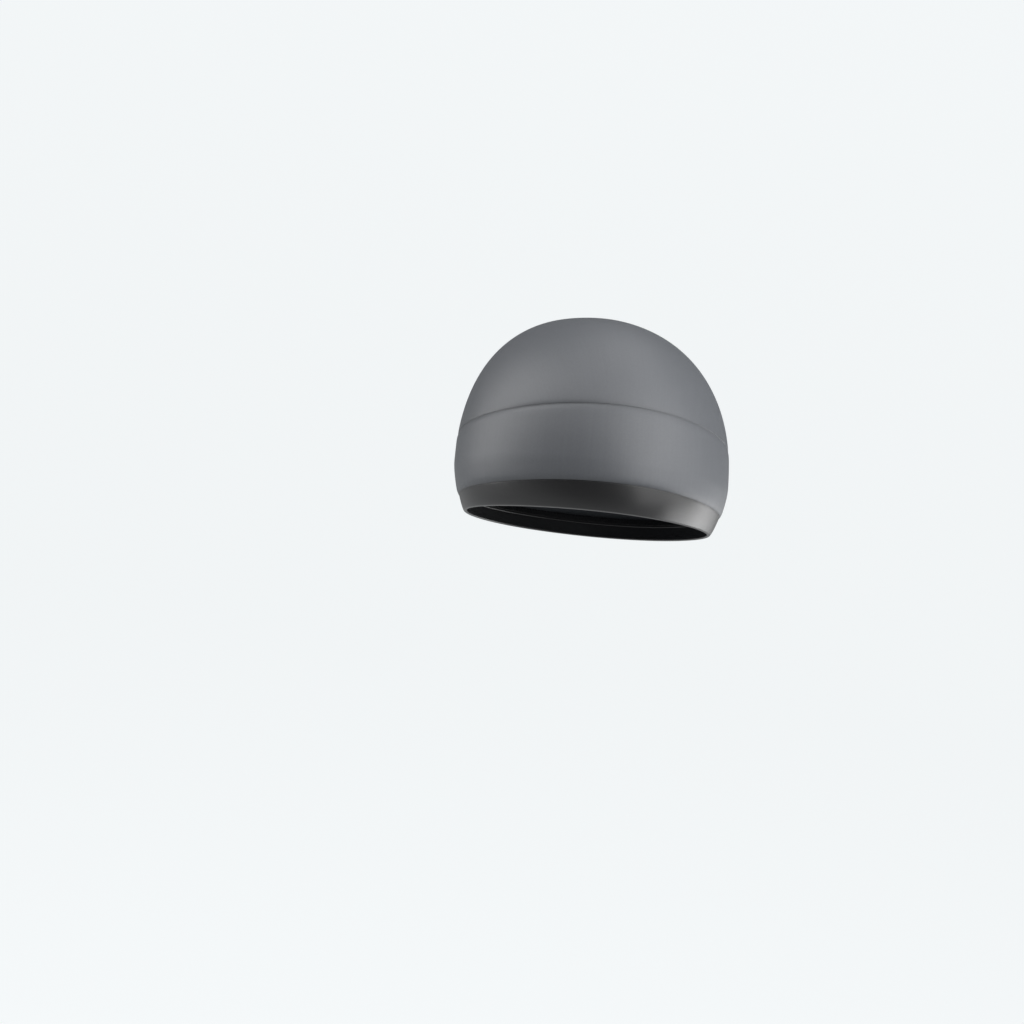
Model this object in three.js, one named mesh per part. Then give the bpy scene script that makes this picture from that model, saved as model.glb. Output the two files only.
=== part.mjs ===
// A wave cap: a close stretch-knit cap, shaped as it sits on an upright head.
//
// It is sewn from three pieces of cloth. The crown is the dome on top. The side panel is the wall
// round the head under it. The rim band is the elastic edge that grips the head, deep over the
// forehead and narrow behind. The crown seam and the band seam join them: outside each shows as a
// sunk line, and inside it ends in a flat allowance that lies against the side panel.
//
// Millimetres, +Z up, -Y the forehead, +X the wearer's left. The origin is where the top of the
// head meets the inside of the crown.
import * as THREE from "three";

// The outer form, measured from the rim's own plane.
const CAP_BREADTH = 164; // widest outer width, ear to ear
const FRONT_REACH = 99; // outer reach forward from the widest line
const BACK_REACH = 97; // outer reach back from the widest line
const CROWN_RISE = 127; // top of the crown above the rim plane
const BULGE_RISE = 30; // widest level above the rim plane
const CROWN_SETBACK = 24; // how far the top lies behind the middle
const SETBACK_CURVE = 1.5; // power by which the setback gathers towards the top
const CROWN_FULLNESS = 2.3; // exponent of the dome: 2 is an ellipse, more is squarer
const BACK_FULLNESS = 1.96; // the same down the middle of the back
const FOREHEAD_TAPER = 3; // how far the outline draws in between forehead and ear
const SIDE_TUCK = 8; // how far the rim draws in over each ear
const FRONT_TUCK = 6; // the same at the forehead
const NAPE_TUCK = 5; // the same at the nape
const TUCK_CURVE = 1.6; // power by which the tuck gathers towards the rim
const RIM_SLOPE = 17; // degrees by which the rim climbs from nape to forehead

// The cloth pieces.
const CLOTH_THICKNESS = 1.2;
const BAND_THICKNESS = 2;
const BAND_SINK = 0.7; // how far the band's face lies under the panel's
const BAND_HEIGHT_FRONT = 17;
const BAND_HEIGHT_BACK = 8.5;
const BAND_NARROWING = 2; // power by which the band narrows past the temples
const SEAM_RISE_FRONT = 62.5; // crown seam above the rim plane at the forehead
const SEAM_RISE_BACK = 35;
const HEM_CURL = 0.6; // how far the rim's folded edge turns in
const HEM_TIGHTNESS = 4; // power by which the turn gathers at the edge

// The seams.
const SEAM_WIDTH = 0.8; // width of the line that shows outside
const SEAM_SINK = 0.5; // how far that line lies under the cloth beside it
const SEAM_DIP = 0.7; // how far the cloth dips towards a seam
const SEAM_ROLL = 3; // distance over which it dips
const ALLOWANCE_WIDTH = 5; // flat turned edge inside the cap
const ALLOWANCE_THICKNESS = 1;
const SEWN_GAP = 0.3; // clearance between neighbouring pieces

// Facets.
const STEPS_AROUND = 64;
const CROWN_ROWS = 13;
const PANEL_ROWS = 7;
const BAND_ROWS = 5;
const ALLOWANCE_ROWS = 2;

const { lerp, degToRad } = THREE.MathUtils;
const WIDEST = CAP_BREADTH / 2;

// 1 at the forehead and 0 at the nape, for values that change from front to back.
const frontShare = (around) => (1 + Math.cos(around)) / 2;

// How high the two seams lie above the rim plane.
const crownSeamRise = (around) => lerp(SEAM_RISE_BACK, SEAM_RISE_FRONT, frontShare(around));
const bandSeamRise = (around) =>
  lerp(BAND_HEIGHT_BACK, BAND_HEIGHT_FRONT, frontShare(around) ** BAND_NARROWING);

// Climb runs from -1 at the rim through 0 at the widest level to 1 at the top of the crown.
function climbAt(rise) {
  if (rise < BULGE_RISE) return rise / BULGE_RISE - 1;
  const share = Math.min(1, (rise - BULGE_RISE) / (CROWN_RISE - BULGE_RISE));
  return Math.asin(share ** (CROWN_FULLNESS / 2)) / (Math.PI / 2);
}

function riseAt(climb) {
  if (climb < 0) return BULGE_RISE * (1 + climb);
  const share = Math.sin((climb * Math.PI) / 2) ** (2 / CROWN_FULLNESS);
  return lerp(BULGE_RISE, CROWN_RISE, share);
}

// The share of the widest outline that is left at a climb. Over the widest level the dome closes in,
// sooner down the back. Under it the rim draws in, by its own amount at ears, forehead and nape.
function outlineShare(around, climb) {
  const forward = Math.cos(around);
  if (climb >= 0) {
    const fullness = forward > 0 ? CROWN_FULLNESS : lerp(CROWN_FULLNESS, BACK_FULLNESS, forward ** 2);
    return Math.max(0, Math.cos((climb * Math.PI) / 2)) ** (2 / fullness);
  }
  const lengthwise = forward > 0 ? FRONT_TUCK / FRONT_REACH : NAPE_TUCK / BACK_REACH;
  return 1 - lerp(SIDE_TUCK / WIDEST, lengthwise, forward ** 2) * (-climb) ** TUCK_CURVE;
}

// A point of the smooth outer form. Around is 0 at the forehead and runs towards +X.
function outerPoint(around, climb) {
  const forward = Math.cos(around);
  const taper = forward > 0 ? (FOREHEAD_TAPER / FRONT_REACH) * Math.sin(2 * around) ** 2 : 0;
  const share = outlineShare(around, climb) * (1 - taper);
  const reach = forward > 0 ? FRONT_REACH : BACK_REACH;
  const rise = riseAt(climb);
  const setback = CROWN_SETBACK * (Math.max(0, rise) / CROWN_RISE) ** SETBACK_CURVE;
  return new THREE.Vector3(WIDEST * share * Math.sin(around), setback - reach * share * forward, rise);
}

// The outer form's outward direction, from two short steps on it.
function outwardAt(around, climb) {
  const step = 1e-4;
  if (climb > 1 - step) return new THREE.Vector3(0, 0, 1);
  const sideways = outerPoint(around + step, climb).sub(outerPoint(around - step, climb));
  const upwards = outerPoint(around, climb + step).sub(outerPoint(around, climb - step));
  return sideways.cross(upwards).normalize();
}

const pointUnder = (around, climb, depth) =>
  outerPoint(around, climb).addScaledVector(outwardAt(around, climb), -depth);

// From the middle of a seam to the edge of the cloth on either side.
const SEAM_REACH = SEAM_WIDTH / 2 + SEWN_GAP;

// The cloth dips towards both seams, so that each lies in a shallow valley.
function dipAt(around, rise) {
  const distances = [rise - crownSeamRise(around), rise - bandSeamRise(around)];
  const beyond = distances.map((distance) => Math.max(0, Math.abs(distance) - SEAM_REACH));
  return SEAM_DIP * beyond.reduce((sum, distance) => sum + Math.exp(-distance / SEAM_ROLL), 0);
}

// A point at a depth under the dipped cloth's outer face.
const clothPoint = (around, climb, depth) =>
  pointUnder(around, climb, depth + dipAt(around, riseAt(climb)));

// Turns a closed outline into a ring with a lathe and lays it on the head. Each point of the outline
// gives its place from its own function, which takes the angle around the head.
function ringOnHead(outline) {
  const blank = outline.map((_, i) => {
    const turn = (2 * Math.PI * i) / outline.length;
    return new THREE.Vector2(WIDEST + Math.cos(turn), Math.sin(turn));
  });
  const geometry = new THREE.LatheGeometry([...blank, blank[0]], STEPS_AROUND);
  return laidOut(geometry, [...outline, outline[0]]);
}

// The same for a dome, whose outline starts and ends on the axis.
function domeOnHead(outline) {
  const blank = outline.map((_, i) => {
    const turn = (Math.PI * i) / (outline.length - 1);
    return new THREE.Vector2(WIDEST * Math.sin(turn), WIDEST * Math.cos(turn));
  });
  return laidOut(new THREE.LatheGeometry(blank, STEPS_AROUND), outline);
}

// Moves each point of a lathe's geometry to its place on the head.
function laidOut(geometry, outline) {
  const position = geometry.attributes.position;
  for (let i = 0; i < position.count; i++) {
    const step = Math.floor(i / outline.length) % STEPS_AROUND;
    const around = (2 * Math.PI * step) / STEPS_AROUND;
    position.setXYZ(i, ...outline[i % outline.length](around).toArray());
  }
  geometry.computeVertexNormals();
  return geometry;
}

// Shares from 0 to 1, closer together at both ends, where cloth dips to its seams.
const sharesToBothEnds = (rows) =>
  Array.from({ length: rows + 1 }, (_, i) => (1 - Math.cos((Math.PI * i) / rows)) / 2);

const crownEdge = (around) => crownSeamRise(around) + SEAM_REACH;
const panelTop = (around) => crownSeamRise(around) - SEAM_REACH;
const panelFoot = (around) => bandSeamRise(around) + SEAM_REACH;
const bandTop = (around) => bandSeamRise(around) - SEAM_REACH;

// The crown: from the top down its inner face to the seam, and back up its outer face.
function crownGeometry() {
  const place = (share, depth) => (around) =>
    clothPoint(around, lerp(1, climbAt(crownEdge(around)), share), depth);
  // The rows lie closer together towards the seam.
  const shares = Array.from({ length: CROWN_ROWS + 1 }, (_, i) => Math.sin((Math.PI * i) / CROWN_ROWS / 2));
  return domeOnHead([
    ...shares.map((share) => place(share, CLOTH_THICKNESS)),
    ...shares.toReversed().map((share) => place(share, 0)),
  ]);
}

// A wall between two edges, each a rise that changes around the head: up its outer face and back
// down its inner face. Place gives a point of the wall from the angle around, climb and depth.
function wallGeometry(lower, upper, rows, thickness, place) {
  const point = (share, depth) => (around) =>
    place(around, lerp(climbAt(lower(around)), climbAt(upper(around)), share), depth);
  const shares = sharesToBothEnds(rows);
  return ringOnHead([
    ...shares.map((share) => point(share, 0)),
    ...shares.toReversed().map((share) => point(share, thickness)),
  ]);
}

const panelGeometry = () => wallGeometry(panelFoot, panelTop, PANEL_ROWS, CLOTH_THICKNESS, clothPoint);

// The band lies under the panel's face, and its folded edge turns in at the rim.
function bandGeometry() {
  const place = (around, climb, depth) => {
    const fromTop = Math.max(0, 1 - riseAt(climb) / bandTop(around));
    const curl = HEM_CURL * fromTop ** HEM_TIGHTNESS;
    return pointUnder(around, climb, BAND_SINK + curl + depth);
  };
  return wallGeometry(() => 0, bandTop, BAND_ROWS, BAND_THICKNESS, place);
}

// A seam: a web between two cloths, and a flat allowance that lies against the inside of the side
// panel. The allowance turns up (1) where the panel is over the seam, and down (-1) where it is under.
function seamGeometry(seamRise, turn) {
  const place = (offset, depth) => (around) =>
    clothPoint(around, climbAt(seamRise(around) + turn * offset), depth);
  const half = SEAM_WIDTH / 2;
  const lap = CLOTH_THICKNESS + SEWN_GAP;
  const offsets = Array.from({ length: ALLOWANCE_ROWS + 1 }, (_, i) =>
    lerp(half, ALLOWANCE_WIDTH, i / ALLOWANCE_ROWS),
  );
  const outline = [
    place(-half, SEAM_SINK),
    place(half, SEAM_SINK),
    ...offsets.map((offset) => place(offset, lap)),
    ...offsets.slice(1).toReversed().map((offset) => place(offset, lap + ALLOWANCE_THICKNESS)),
    place(-half, lap + ALLOWANCE_THICKNESS),
  ];
  return ringOnHead(turn > 0 ? outline : outline.toReversed());
}

const crownCloth = new THREE.MeshStandardMaterial({ color: 0x7c7d7f, roughness: 0.6, metalness: 0 });
const panelCloth = new THREE.MeshStandardMaterial({ color: 0x77787a, roughness: 0.6, metalness: 0 });
const bandCloth = new THREE.MeshStandardMaterial({ color: 0x353536, roughness: 0.42, metalness: 0 });
const seamThread = new THREE.MeshStandardMaterial({ color: 0x505053, roughness: 0.75, metalness: 0 });

function piece(name, geometry, material) {
  const mesh = new THREE.Mesh(geometry, material);
  mesh.name = name;
  return mesh;
}

// The cloth pieces stand on the rim's own plane, which slopes on the head.
const cloths = new THREE.Group();
cloths.add(
  piece("crown", crownGeometry(), crownCloth),
  piece("side_panel", panelGeometry(), panelCloth),
  piece("rim_band", bandGeometry(), bandCloth),
  piece("crown_seam", seamGeometry(crownSeamRise, -1), seamThread),
  piece("band_seam", seamGeometry(bandSeamRise, 1), seamThread),
);
cloths.rotation.x = -degToRad(RIM_SLOPE);

// The top of the head: the highest point of the crown's inner face once the rim slopes.
function headTop() {
  const steps = 400;
  let highest = new THREE.Vector3(0, 0, -Infinity);
  for (let i = 0; i <= steps; i++) {
    for (const around of [0, Math.PI]) {
      const point = pointUnder(around, i / steps, CLOTH_THICKNESS).applyEuler(cloths.rotation);
      if (point.z > highest.z) highest = point;
    }
  }
  return highest;
}
cloths.position.copy(headTop()).negate();

const cap = new THREE.Group();
cap.add(cloths);

export default cap;
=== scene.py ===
"""A wave cap in its worn form: a stretch-knit crown and side panel, an elastic band round the rim
and two seams.

Lengths are metres, +Z up, -Y the front, +X the cap's own left. The origin is the highest point of
the crown's inner face.
"""

import math

import bpy
import numpy as np
from bpy.props import FloatProperty, FloatVectorProperty, IntProperty, PointerProperty
from mathutils import Matrix, Vector


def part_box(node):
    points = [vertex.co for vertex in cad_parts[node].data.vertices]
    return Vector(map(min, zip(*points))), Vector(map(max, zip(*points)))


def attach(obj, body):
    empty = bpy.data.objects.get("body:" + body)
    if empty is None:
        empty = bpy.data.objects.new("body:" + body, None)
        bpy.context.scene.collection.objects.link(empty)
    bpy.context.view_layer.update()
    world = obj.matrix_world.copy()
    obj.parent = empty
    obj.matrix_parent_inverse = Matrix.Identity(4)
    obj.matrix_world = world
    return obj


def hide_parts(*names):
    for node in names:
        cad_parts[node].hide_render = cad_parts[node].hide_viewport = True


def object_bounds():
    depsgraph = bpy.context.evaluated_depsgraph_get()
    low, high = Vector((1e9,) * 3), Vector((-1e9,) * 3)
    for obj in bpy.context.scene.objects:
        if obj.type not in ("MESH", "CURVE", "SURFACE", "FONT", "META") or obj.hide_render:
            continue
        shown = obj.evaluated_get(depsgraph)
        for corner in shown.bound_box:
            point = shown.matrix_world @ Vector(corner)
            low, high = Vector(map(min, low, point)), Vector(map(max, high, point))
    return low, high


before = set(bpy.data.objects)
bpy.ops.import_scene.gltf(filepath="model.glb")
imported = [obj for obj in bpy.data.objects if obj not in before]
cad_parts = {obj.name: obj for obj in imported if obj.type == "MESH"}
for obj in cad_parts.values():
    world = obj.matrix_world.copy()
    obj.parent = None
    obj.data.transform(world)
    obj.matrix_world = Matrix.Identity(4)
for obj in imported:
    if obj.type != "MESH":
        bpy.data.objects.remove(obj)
CAD_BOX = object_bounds()

bl_info = {
    "name": "Wave Cap",
    "version": (1, 0, 0),
    "blender": (4, 5, 0),
    "location": "View3D > Sidebar > Wave Cap",
    "description": "Makes a stretch-knit wave cap with its seams, and a plain studio round it",
    "category": "Add Mesh",
}

MM = 0.001
BODY = "root"


# Properties


def length(name, default, description):
    return FloatProperty(
        name=name, description=description, default=default, unit="LENGTH", precision=5
    )


def colour(name, default, description):
    return FloatVectorProperty(
        name=name, description=description, default=default, subtype="COLOR", size=3, min=0, max=1
    )


def number(name, default, description):
    return FloatProperty(name=name, description=description, default=default, precision=3)


def angle(name, degrees, description):
    return FloatProperty(
        name=name, description=description, default=math.radians(degrees), subtype="ANGLE"
    )


class CapForm(bpy.types.PropertyGroup):
    """The outer form, measured from the rim's own plane."""

    breadth: length("Breadth", 0.164, "Widest outer width, side to side")
    front_reach: length("Front reach", 0.099, "Outer reach forward from the widest line")
    back_reach: length("Back reach", 0.097, "Outer reach back from the widest line")
    crown_rise: length("Crown rise", 0.127, "Top of the crown above the rim plane")
    bulge_rise: length("Bulge rise", 0.030, "Widest level above the rim plane")
    crown_setback: length("Crown setback", 0.024, "How far the top lies behind the middle")
    setback_curve: number("Setback curve", 1.5, "Power by which the setback gathers to the top")
    crown_fullness: number("Crown fullness", 2.3, "Exponent of the dome: 2 is an ellipse")
    back_fullness: number("Back fullness", 1.96, "The same exponent down the middle of the back")
    front_taper: length("Front taper", 0.003, "Draw-in between the front and each side")
    side_tuck: length("Side tuck", 0.008, "How far the rim draws in at each side")
    front_tuck: length("Front tuck", 0.006, "How far the rim draws in at the front")
    back_tuck: length("Back tuck", 0.005, "How far the rim draws in at the back")
    tuck_curve: number("Tuck curve", 1.6, "Power by which the tuck gathers towards the rim")
    rim_slope: angle("Rim slope", 17, "Climb of the rim from back to front")
    band_front: length("Band in front", 0.017, "Height of the rim band in front")
    band_back: length("Band behind", 0.0085, "Height of the rim band behind")
    band_narrowing: number("Band narrowing", 2, "Power by which the band narrows behind")
    seam_front: length("Seam in front", 0.0625, "Crown seam above the rim plane in front")
    seam_back: length("Seam behind", 0.035, "Crown seam above the rim plane behind")


class CapCloth(bpy.types.PropertyGroup):
    """Thicknesses, seams and the small unevenness of the cloth."""

    thickness: length("Cloth thickness", 1.2 * MM, "Wall of the crown and side panel")
    band_thickness: length("Band thickness", 2 * MM, "Wall of the folded rim band")
    band_sink: length("Band sink", 0.7 * MM, "How far the band lies under the panel's face")
    hem_curl: length("Hem curl", 0.6 * MM, "How far the rim's folded edge turns in")
    hem_tightness: number("Hem tightness", 4, "Power by which the turn gathers at the edge")
    edge_round: length("Edge rounding", 0.2 * MM, "Radius where a cloth turns into its seam")
    seam_width: length("Seam width", 0.5 * MM, "Width of the sunk line of a seam")
    crown_seam_sink: length("Crown seam sink", 0.10 * MM, "Depth of the crown seam's line")
    band_seam_sink: length("Band seam sink", 0.08 * MM, "Depth of the band seam's line")
    crown_seam_dip: length("Crown seam dip", 0.30 * MM, "Dip of the cloth at the crown seam")
    band_seam_dip: length("Band seam dip", 0.62 * MM, "Dip of the cloth at the band seam")
    web_bevel: length("Web bevel", 0.02 * MM, "Break of the sharp edges of a seam's web")
    seam_roll: length("Seam roll", 1.6 * MM, "Distance over which the cloth dips")
    tightness: number("Tightness", 0.6, "How unevenly tight the crown seam is sewn round the cap")
    seam_lift: length("Seam lift", 0.12 * MM, "How far an allowance lifts the panel over it")
    sewn_gap: length("Sewn gap", 0.08 * MM, "Clearance between the pieces along a seam")
    allowance_width: length("Allowance width", 5 * MM, "Flat turned edge inside the cap")
    allowance_thickness: length("Allowance thickness", 1 * MM, "Wall of that turned edge")
    sway: length("Sway", 0.3 * MM, "Broad unevenness of the stretched cloth")
    pucker: length("Pucker", 0.03 * MM, "Fine ripples beside the seams")
    pucker_reach: length("Pucker reach", 6 * MM, "How far the ripples run into the cloth")
    stitch: length("Stitch", 2.4 * MM, "Length of one stitch")
    thread: length("Thread", 0.14 * MM, "Radius of the sewing thread")


class CapFinish(bpy.types.PropertyGroup):
    """Colours, the fine structure of the knit, and the painted shade beside the seams."""

    crown_colour: colour("Crown colour", (0.124, 0.131, 0.143), "Grey of the crown")
    panel_colour: colour("Panel colour", (0.124, 0.131, 0.143), "Grey of the side panel")
    band_colour: colour("Band colour", (0.024, 0.024, 0.025), "Near black of the rim band")
    crown_thread: colour("Crown thread", (0.115, 0.118, 0.122), "Thread of the crown seam")
    band_thread: colour("Band thread", (0.030, 0.030, 0.031), "Thread of the band seam")
    wale: length("Wale", 0.6 * MM, "Width of one column of knit")
    course: length("Course", 0.5 * MM, "Height of one row of knit")
    rib: length("Rib", 0.9 * MM, "Width of one rib of the elastic band")
    weft: length("Weft", 0.6 * MM, "Height of one row of the band's weft")
    # The band seam shade is painted shade on the panel just above the band, where shade falls
    # between the two; the crown seam shade is painted shade in the crease of the crown seam.
    band_painted_shade: number("Band seam shade", 0.42, "Darkening where the allowance shows through")
    band_painted_shade_reach: length("Band shade reach", 1.1 * MM, "How far up the panel it fades")
    crown_painted_shade: number("Crown seam shade", 0.15, "Darkening of the knit along the seam")
    crown_painted_shade_reach: length("Crown shade reach", 1.4 * MM, "How far from the seam it fades")


class CapStudio(bpy.types.PropertyGroup):
    """Where the camera stands and how the stage is lit."""

    camera_around: angle("Camera around", -11.84, "Camera's angle round the cap, 0 in front")
    camera_above: angle("Camera above", 9.72, "Camera's angle above the level")
    camera_roll: angle("Camera roll", 9.82, "Lean of the cap in the picture, clockwise")
    camera_distance: length("Camera distance", 1.5, "From the camera to the cap's middle")
    aim: FloatVectorProperty(
        name="Aim",
        description="Point near the cap's middle that the camera and the lights are set by",
        default=(0, -0.00287, -0.07017),
        subtype="TRANSLATION",
        unit="LENGTH",
        precision=5,
    )
    floor_drop: length("Floor drop", 0.75, "From the cap's lowest edge down to the floor")
    key_light: number("Key light", 1.0, "Brightness of all the softboxes together")
    floor_light: number("Floor light", 0.44, "Brightness of the pale floor all round the cap")
    under_light: number("Under light", 0.90, "Added brightness of the floor straight below it")
    stage_glow: number("Stage glow", 0.91, "Own brightness of the backdrop, which keeps it even")


# The picture that the camera frames: its side, the aimed point in it and the lens, in pixels.
PICTURE_SIDE = 1024
AIM_IN_PICTURE = (596.2, 438.9)
FOCAL_PIXELS = 2506
SENSOR_MM = 36


# The form of the cap


def front_share(around):
    """1 at the front and 0 at the back."""
    return (1 + np.cos(around)) / 2


def between(low, high, share):
    return low + (high - low) * share


def crown_seam_rise(form, around):
    return between(form.seam_back, form.seam_front, front_share(around))


def band_seam_rise(form, around):
    return between(form.band_back, form.band_front, front_share(around) ** form.band_narrowing)


def climb_at(form, rise):
    """Climb runs from -1 at the rim through 0 at the widest level to 1 at the top."""
    share = np.clip((rise - form.bulge_rise) / (form.crown_rise - form.bulge_rise), 0, 1)
    upper = np.arcsin(share ** (form.crown_fullness / 2)) / (np.pi / 2)
    return np.where(rise < form.bulge_rise, rise / form.bulge_rise - 1, upper)


def rise_at(form, climb):
    share = np.sin(np.clip(climb, 0, 1) * np.pi / 2) ** (2 / form.crown_fullness)
    upper = between(form.bulge_rise, form.crown_rise, share)
    return np.where(climb < 0, form.bulge_rise * (1 + climb), upper)


def outline_share(form, around, climb):
    """The share of the widest outline that is left at a climb."""
    forward = np.cos(around)
    down_back = between(form.crown_fullness, form.back_fullness, forward**2)
    fullness = np.where(forward > 0, form.crown_fullness, down_back)
    dome = np.maximum(0, np.cos(np.clip(climb, 0, 1) * np.pi / 2)) ** (2 / fullness)
    lengthwise = np.where(
        forward > 0, form.front_tuck / form.front_reach, form.back_tuck / form.back_reach
    )
    tuck = between(form.side_tuck / (form.breadth / 2), lengthwise, forward**2)
    return np.where(climb < 0, 1 - tuck * np.maximum(0, -climb) ** form.tuck_curve, dome)


def outer_point(form, around, climb):
    """A point of the smooth outer form. Around is 0 at the front and runs towards +X."""
    forward = np.cos(around)
    taper = form.front_taper / form.front_reach * np.sin(2 * around) ** 2
    share = outline_share(form, around, climb) * (1 - np.where(forward > 0, taper, 0))
    reach = np.where(forward > 0, form.front_reach, form.back_reach)
    rise = rise_at(form, climb)
    setback = form.crown_setback * (np.maximum(0, rise) / form.crown_rise) ** form.setback_curve
    across = form.breadth / 2 * share * np.sin(around)
    return np.stack([across, setback - reach * share * forward, rise + 0 * share], axis=-1)


# A short step along the form, in radians and in climb, and a length that counts as none.
SHORT_STEP = 1e-4
NO_LENGTH = 1e-12


def outward_at(form, around, climb):
    """The outer form's outward direction, from two short steps on it."""
    step = SHORT_STEP
    sideways = outer_point(form, around + step, climb) - outer_point(form, around - step, climb)
    upwards = outer_point(form, around, climb + step) - outer_point(form, around, climb - step)
    outward = np.cross(sideways, upwards)
    outward /= np.maximum(np.linalg.norm(outward, axis=-1, keepdims=True), NO_LENGTH)
    at_top = (climb > 1 - step)[..., None]
    return np.where(at_top, np.array([0.0, 0.0, 1.0]), outward)


def turned(form, points):
    """Tilts points of the rim's own plane to the slope of the worn cap."""
    cos, sin = math.cos(form.rim_slope), math.sin(form.rim_slope)
    x, y, z = np.moveaxis(points, -1, 0)
    return np.stack([x, y * cos + z * sin, z * cos - y * sin], axis=-1)


SEAT_STATIONS = 401


def seat_point(form, cloth):
    """The highest point of the crown's inner face, which is the origin."""
    climb = np.linspace(0, 1, SEAT_STATIONS)
    around = np.repeat([[0.0], [np.pi]], len(climb), axis=1)
    climb = np.broadcast_to(climb, around.shape)
    inner = outer_point(form, around, climb) - outward_at(form, around, climb) * cloth.thickness
    points = turned(form, inner).reshape(-1, 3)
    return points[points[:, 2].argmax()]


def under_form(form, cloth, around, rise, depth):
    """Points at a rise and a depth under the smooth form, in the shared frame."""
    climb = climb_at(form, rise)
    points = outer_point(form, around, climb)
    points = points - outward_at(form, around, climb) * depth[..., None]
    return turned(form, points) - seat_point(form, cloth)


# The small forms of the cloth


# Broad waves of the stretched cloth: waves around the cap, waves up it, start and share.
SWAYS = (
    {"around": 3, "up": 1.1, "start": 0.4, "share": 0.42},
    {"around": 5, "up": -1.7, "start": 2.2, "share": 0.30},
    {"around": 8, "up": 2.3, "start": 4.1, "share": 0.18},
    {"around": 11, "up": -0.8, "start": 1.3, "share": 0.10},
)


def sway_at(form, cloth, around, rise):
    """Slow unevenness, which dies out at the top, where all directions meet."""
    up = 2 * np.pi * rise / form.crown_rise
    waves = sum(
        wave["share"] * np.sin(wave["around"] * around + wave["up"] * up + wave["start"])
        for wave in SWAYS
    )
    fade = np.cos(np.clip(climb_at(form, rise), 0, 1) * np.pi / 2) ** 2
    return cloth.sway * waves * fade


def seam_half(cloth):
    """From the middle of a seam to the sewn edge of the cloth beside it."""
    return cloth.seam_width / 2 + cloth.sewn_gap


def from_seams(form, cloth, around, rise):
    """Distances beyond the edges of the crown seam and of the band seam."""
    seams = (crown_seam_rise(form, around), band_seam_rise(form, around))
    return [np.maximum(0, np.abs(rise - seam) - seam_half(cloth)) for seam in seams]


def eased(share):
    """A smooth step from 0 to 1."""
    share = np.clip(share, 0, 1)
    return share * share * (3 - 2 * share)


# The tight places of the crown seam: how many round the cap, and the phase that places them.
TIGHT_PLACES = 2
TIGHT_START = 1.2


def crown_tightness(cloth, around):
    """The crown seam is tighter in some places than in others: it dips deeper there, and its
    painted shade is darker.
    """
    return 1 + cloth.tightness * np.cos(TIGHT_PLACES * around + TIGHT_START)


def on_panel(form, around, rise):
    return (rise > band_seam_rise(form, around)) & (rise < crown_seam_rise(form, around))


def dip_at(form, cloth, around, rise):
    """The cloth dips towards both seams, and the panel stands proud over their allowances."""
    away = from_seams(form, cloth, around, rise)
    to_crown, to_band = (np.exp(-d / cloth.seam_roll) for d in away)
    to_crown = to_crown * crown_tightness(cloth, around)
    dip = cloth.crown_seam_dip * to_crown + cloth.band_seam_dip * to_band
    # The lift comes up over half of the allowance's width, and is gone at twice its width.
    fade = cloth.allowance_width / 2
    over = (eased(d / fade) * eased((2 * cloth.allowance_width - d) / (3 * fade)) for d in away)
    return dip - np.where(on_panel(form, around, rise), cloth.seam_lift * sum(over), 0)


def painted_shade_at(form, cloth, finish, around, rise):
    """Painted shade near the seams: the share of its tone that the knit keeps in the crease of the
    crown seam and on the panel just above the band seam.
    """
    from_crown, from_band = from_seams(form, cloth, around, rise)
    # Painted shade in the crease of the crown seam, darker where the seam dips deeper.
    drawn = finish.crown_painted_shade * crown_tightness(cloth, around)
    drawn = drawn * np.exp(-from_crown / finish.crown_painted_shade_reach)
    # Painted shade on the panel's lower edge just above the band seam, where shade falls between
    # the panel and the band.
    through = finish.band_painted_shade * np.exp(-from_band / finish.band_painted_shade_reach)
    return (1 - drawn) * (1 - np.where(on_panel(form, around, rise), through, 0))


# Two trains of ripples: ripples round the cap, how far and how often their spacing drifts, where
# the drift starts, and share.
RIPPLES = (
    {"around": 67, "drift": 2.1, "drifts": 5, "start": 0, "share": 1},
    {"around": 104, "drift": 1.7, "drifts": 3, "start": 1, "share": 0.6},
)
RIPPLE_STRENGTH = {"mean": 0.65, "change": 0.35, "around": 7, "drift": 2.4, "drifts": 2}


def pucker_at(form, cloth, around, rise):
    """Fine ripples that run out of the seams, where the thread holds the stretched knit."""
    ripple = sum(
        train["share"]
        * np.sin(
            train["around"] * around
            + train["drift"] * np.sin(train["drifts"] * around + train["start"])
        )
        for train in RIPPLES
    )
    change = RIPPLE_STRENGTH
    wave = np.sin(change["around"] * around + change["drift"] * np.sin(change["drifts"] * around))
    strength = change["mean"] + change["change"] * wave
    near = sum(np.exp(-d / cloth.pucker_reach) for d in from_seams(form, cloth, around, rise))
    return cloth.pucker * ripple * strength * near


def cloth_face(form, cloth, around, rise, depth):
    """A point of the crown or side panel, with the dips, ripples and unevenness of its face."""
    under = depth + dip_at(form, cloth, around, rise) + cloth.sway / 2
    under = under - sway_at(form, cloth, around, rise) / 2 - pucker_at(form, cloth, around, rise)
    return under_form(form, cloth, around, rise, under)


# Meshes


def round_the_cap(steps):
    """Angles all round, starting at the back."""
    return np.pi + 2 * np.pi * np.arange(steps) / steps


def shares_to_both_ends(rows):
    """Shares from 0 to 1 that lie closer together at both ends."""
    return (1 - np.cos(np.pi * np.arange(rows + 1) / rows)) / 2


def quarter(steps):
    """Sine and one minus cosine along a quarter turn, for rounded edges."""
    turn = np.pi / 2 * np.arange(steps + 1) / steps
    return np.sin(turn), 1 - np.cos(turn)


def faces_of(rows, steps, closed):
    """Quads between neighbouring rows of a grid that runs round the cap, and their corners."""
    j, i = np.meshgrid(np.arange(rows if closed else rows - 1), np.arange(steps), indexing="ij")
    corners = [(j, i), (j, i + 1), (j + 1, i + 1), (j + 1, i)]
    quads = np.stack([(a % rows) * steps + b % steps for a, b in corners], axis=-1).reshape(-1, 4)
    places = np.stack([np.stack(c, axis=-1) for c in corners], axis=-2).reshape(-1, 4, 2)
    return quads, places


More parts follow.
